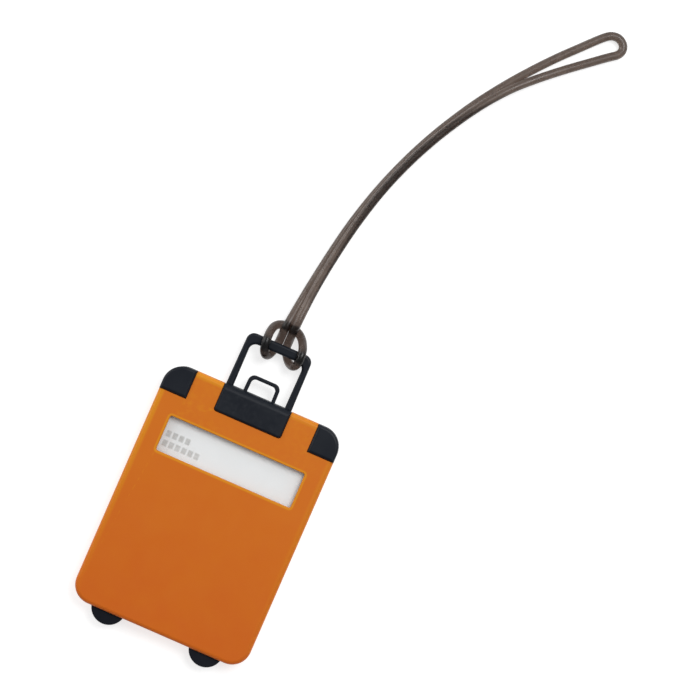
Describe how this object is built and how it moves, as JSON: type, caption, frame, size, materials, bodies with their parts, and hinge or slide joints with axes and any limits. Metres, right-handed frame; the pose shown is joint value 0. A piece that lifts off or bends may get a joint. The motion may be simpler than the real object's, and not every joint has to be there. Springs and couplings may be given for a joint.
{
  "type": "luggage tag",
  "caption": "Flat trolley-case-shaped luggage tag with a pull-out card holder, windowed name card, corner guards, wheels and a soft strap loop.",
  "frame": {"origin": "middle of the tag without its strap, on the plane of its rear face", "axes": "+X to the right when the front is faced, +Y from the wheels to the handle, +Z out of the front face"},
  "size_m": [0.0875, 0.223, 0.0083],
  "materials": {
    "case_plastic": "satin moulded orange plastic with a very fine grain",
    "black_plastic": "satin bluish-black moulded plastic",
    "wheel_plastic": "matt black moulded plastic",
    "card": "uncoated white card with two rows of small grey marks",
    "clear_pane": "clear polished plastic sheet",
    "soft_strap": "smoky brown translucent soft plastic, smooth and glossy"
  },
  "bodies": {
    "case": {"front_shell": "case_plastic", "rear_shell": "case_plastic", "corner_guard_left": "black_plastic", "corner_guard_right": "black_plastic", "window_pane": "clear_pane"},
    "pull_out": {"card_holder": "black_plastic", "name_card": "card", "strap_loop": "soft_strap"},
    "wheel_left": {"wheel_left": "wheel_plastic"},
    "wheel_right": {"wheel_right": "wheel_plastic"}
  },
  "joints": [
    {"name": "card_slide", "type": "slide", "parent": "case", "child": "pull_out", "axis": [0, 1, 0], "range_m": [0, 0.058]},
    {"name": "wheel_left_spin", "type": "hinge", "parent": "case", "child": "wheel_left", "pos_m": [-0.0158, -0.04347, 0.0035], "axis": [0, 0, 1], "continuous": true},
    {"name": "wheel_right_spin", "type": "hinge", "parent": "case", "child": "wheel_right", "pos_m": [0.0158, -0.04347, 0.0035], "axis": [0, 0, 1], "continuous": true}
  ]
}
